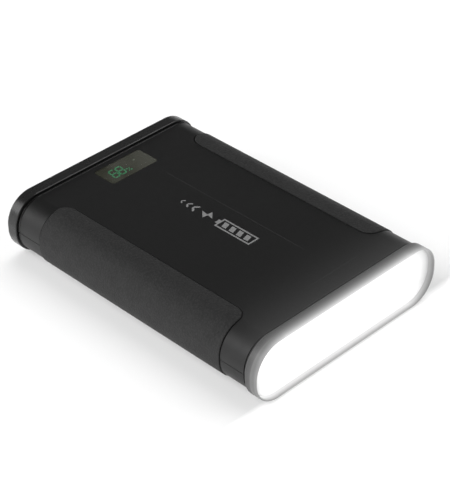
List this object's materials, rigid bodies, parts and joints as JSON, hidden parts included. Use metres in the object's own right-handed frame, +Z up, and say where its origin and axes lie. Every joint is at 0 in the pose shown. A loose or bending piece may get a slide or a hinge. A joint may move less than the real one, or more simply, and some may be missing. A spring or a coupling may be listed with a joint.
{
  "type": "power bank",
  "caption": "Flat lithium power bank with a full-width lamp at one end, sockets and buttons at the other, a charge display on top and rubber side grips.",
  "frame": {"origin": "under the middle of the case, on the surface that the feet stand on", "axes": "+Y along the length, from the lamp to the sockets; +X across the width; +Z up, through the top with the display"},
  "size_m": [0.152, 0.214, 0.0416],
  "materials": {
    "case_plastic": "fine matt texture",
    "grip_rubber": "fine pebble grain",
    "bezel_plastic": "frosted, satin",
    "lens_diffuser": "frosted opal",
    "gasket_foam": "soft foam",
    "reflector_white": "white",
    "led_board_white": "white solder mask",
    "led_phosphor": "phosphor coating",
    "cap_plastic": "semi-gloss",
    "panel_plastic": "fine matt texture",
    "socket_plastic": "moulded",
    "socket_metal": "nickel plated",
    "button_plastic": "satin",
    "screw_steel": "black oxide",
    "foot_rubber": "soft",
    "display_glass": "smoked, polished",
    "display_black": "moulded",
    "circuit_board": "green solder mask",
    "cell_sleeve": "shrink sleeve",
    "wrap_film": "shrink film",
    "nickel": "plain strip",
    "lead_red": "silicone insulation",
    "lead_black": "silicone insulation",
    "lead_white": "silicone insulation",
    "component_black": "ferrite",
    "component_aluminium": "plain can"
  },
  "bodies": {
    "case": {"upper_shell": "case_plastic", "lower_shell": "case_plastic", "left_grip": "grip_rubber", "right_grip": "grip_rubber", "front_bezel": "bezel_plastic", "lamp_lens": "lens_diffuser", "lens_gasket": "gasket_foam", "lamp_reflector": "reflector_white", "led_board": "led_board_white", "led_strip": "led_phosphor", "rear_cap": "cap_plastic", "port_panel": "panel_plastic", "dc_input_socket": "socket_plastic", "dc_output_socket_1": "socket_plastic", "dc_output_socket_2": "socket_plastic", "power_switch": "socket_plastic", "lamp_switch": "socket_plastic", "usb_a_socket_1": "socket_metal", "usb_a_socket_2": "socket_metal", "usb_c_socket": "socket_metal", "cap_screw_1": "screw_steel", "cap_screw_2": "screw_steel", "cap_screw_3": "screw_steel", "cap_screw_4": "screw_steel", "case_screw_1": "screw_steel", "case_screw_2": "screw_steel", "case_screw_3": "screw_steel", "case_screw_4": "screw_steel", "foot_1": "foot_rubber", "foot_2": "foot_rubber", "foot_3": "foot_rubber", "foot_4": "foot_rubber", "display_window": "display_glass", "display_module": "display_black", "display_board": "circuit_board", "port_board": "circuit_board", "main_board": "circuit_board", "protection_board": "circuit_board", "cell_1": "cell_sleeve", "cell_2": "cell_sleeve", "cell_3": "cell_sleeve", "cell_4": "cell_sleeve", "cell_5": "cell_sleeve", "cell_6": "cell_sleeve", "cell_7": "cell_sleeve", "cell_8": "cell_sleeve", "battery_wrap": "wrap_film", "strip_positive": "nickel", "strip_negative": "nickel", "strip_middle_left": "nickel", "strip_middle_right": "nickel", "strip_link": "nickel", "positive_lead": "lead_red", "negative_lead": "lead_black", "lamp_lead": "lead_white", "inductor": "component_black", "capacitor_1": "component_aluminium", "capacitor_2": "component_aluminium"},
    "power_button": {"power_button": "button_plastic"},
    "lamp_button": {"lamp_button": "button_plastic"}
  },
  "joints": [
    {"name": "power_button_press", "type": "slide", "parent": "case", "child": "power_button", "axis": [0, -1, 0], "range_m": [0, 0.0008], "stiffness_N_per_m": 900, "springref_m": -0.0006},
    {"name": "lamp_button_press", "type": "slide", "parent": "case", "child": "lamp_button", "axis": [0, -1, 0], "range_m": [0, 0.0008], "stiffness_N_per_m": 900, "springref_m": -0.0006}
  ]
}
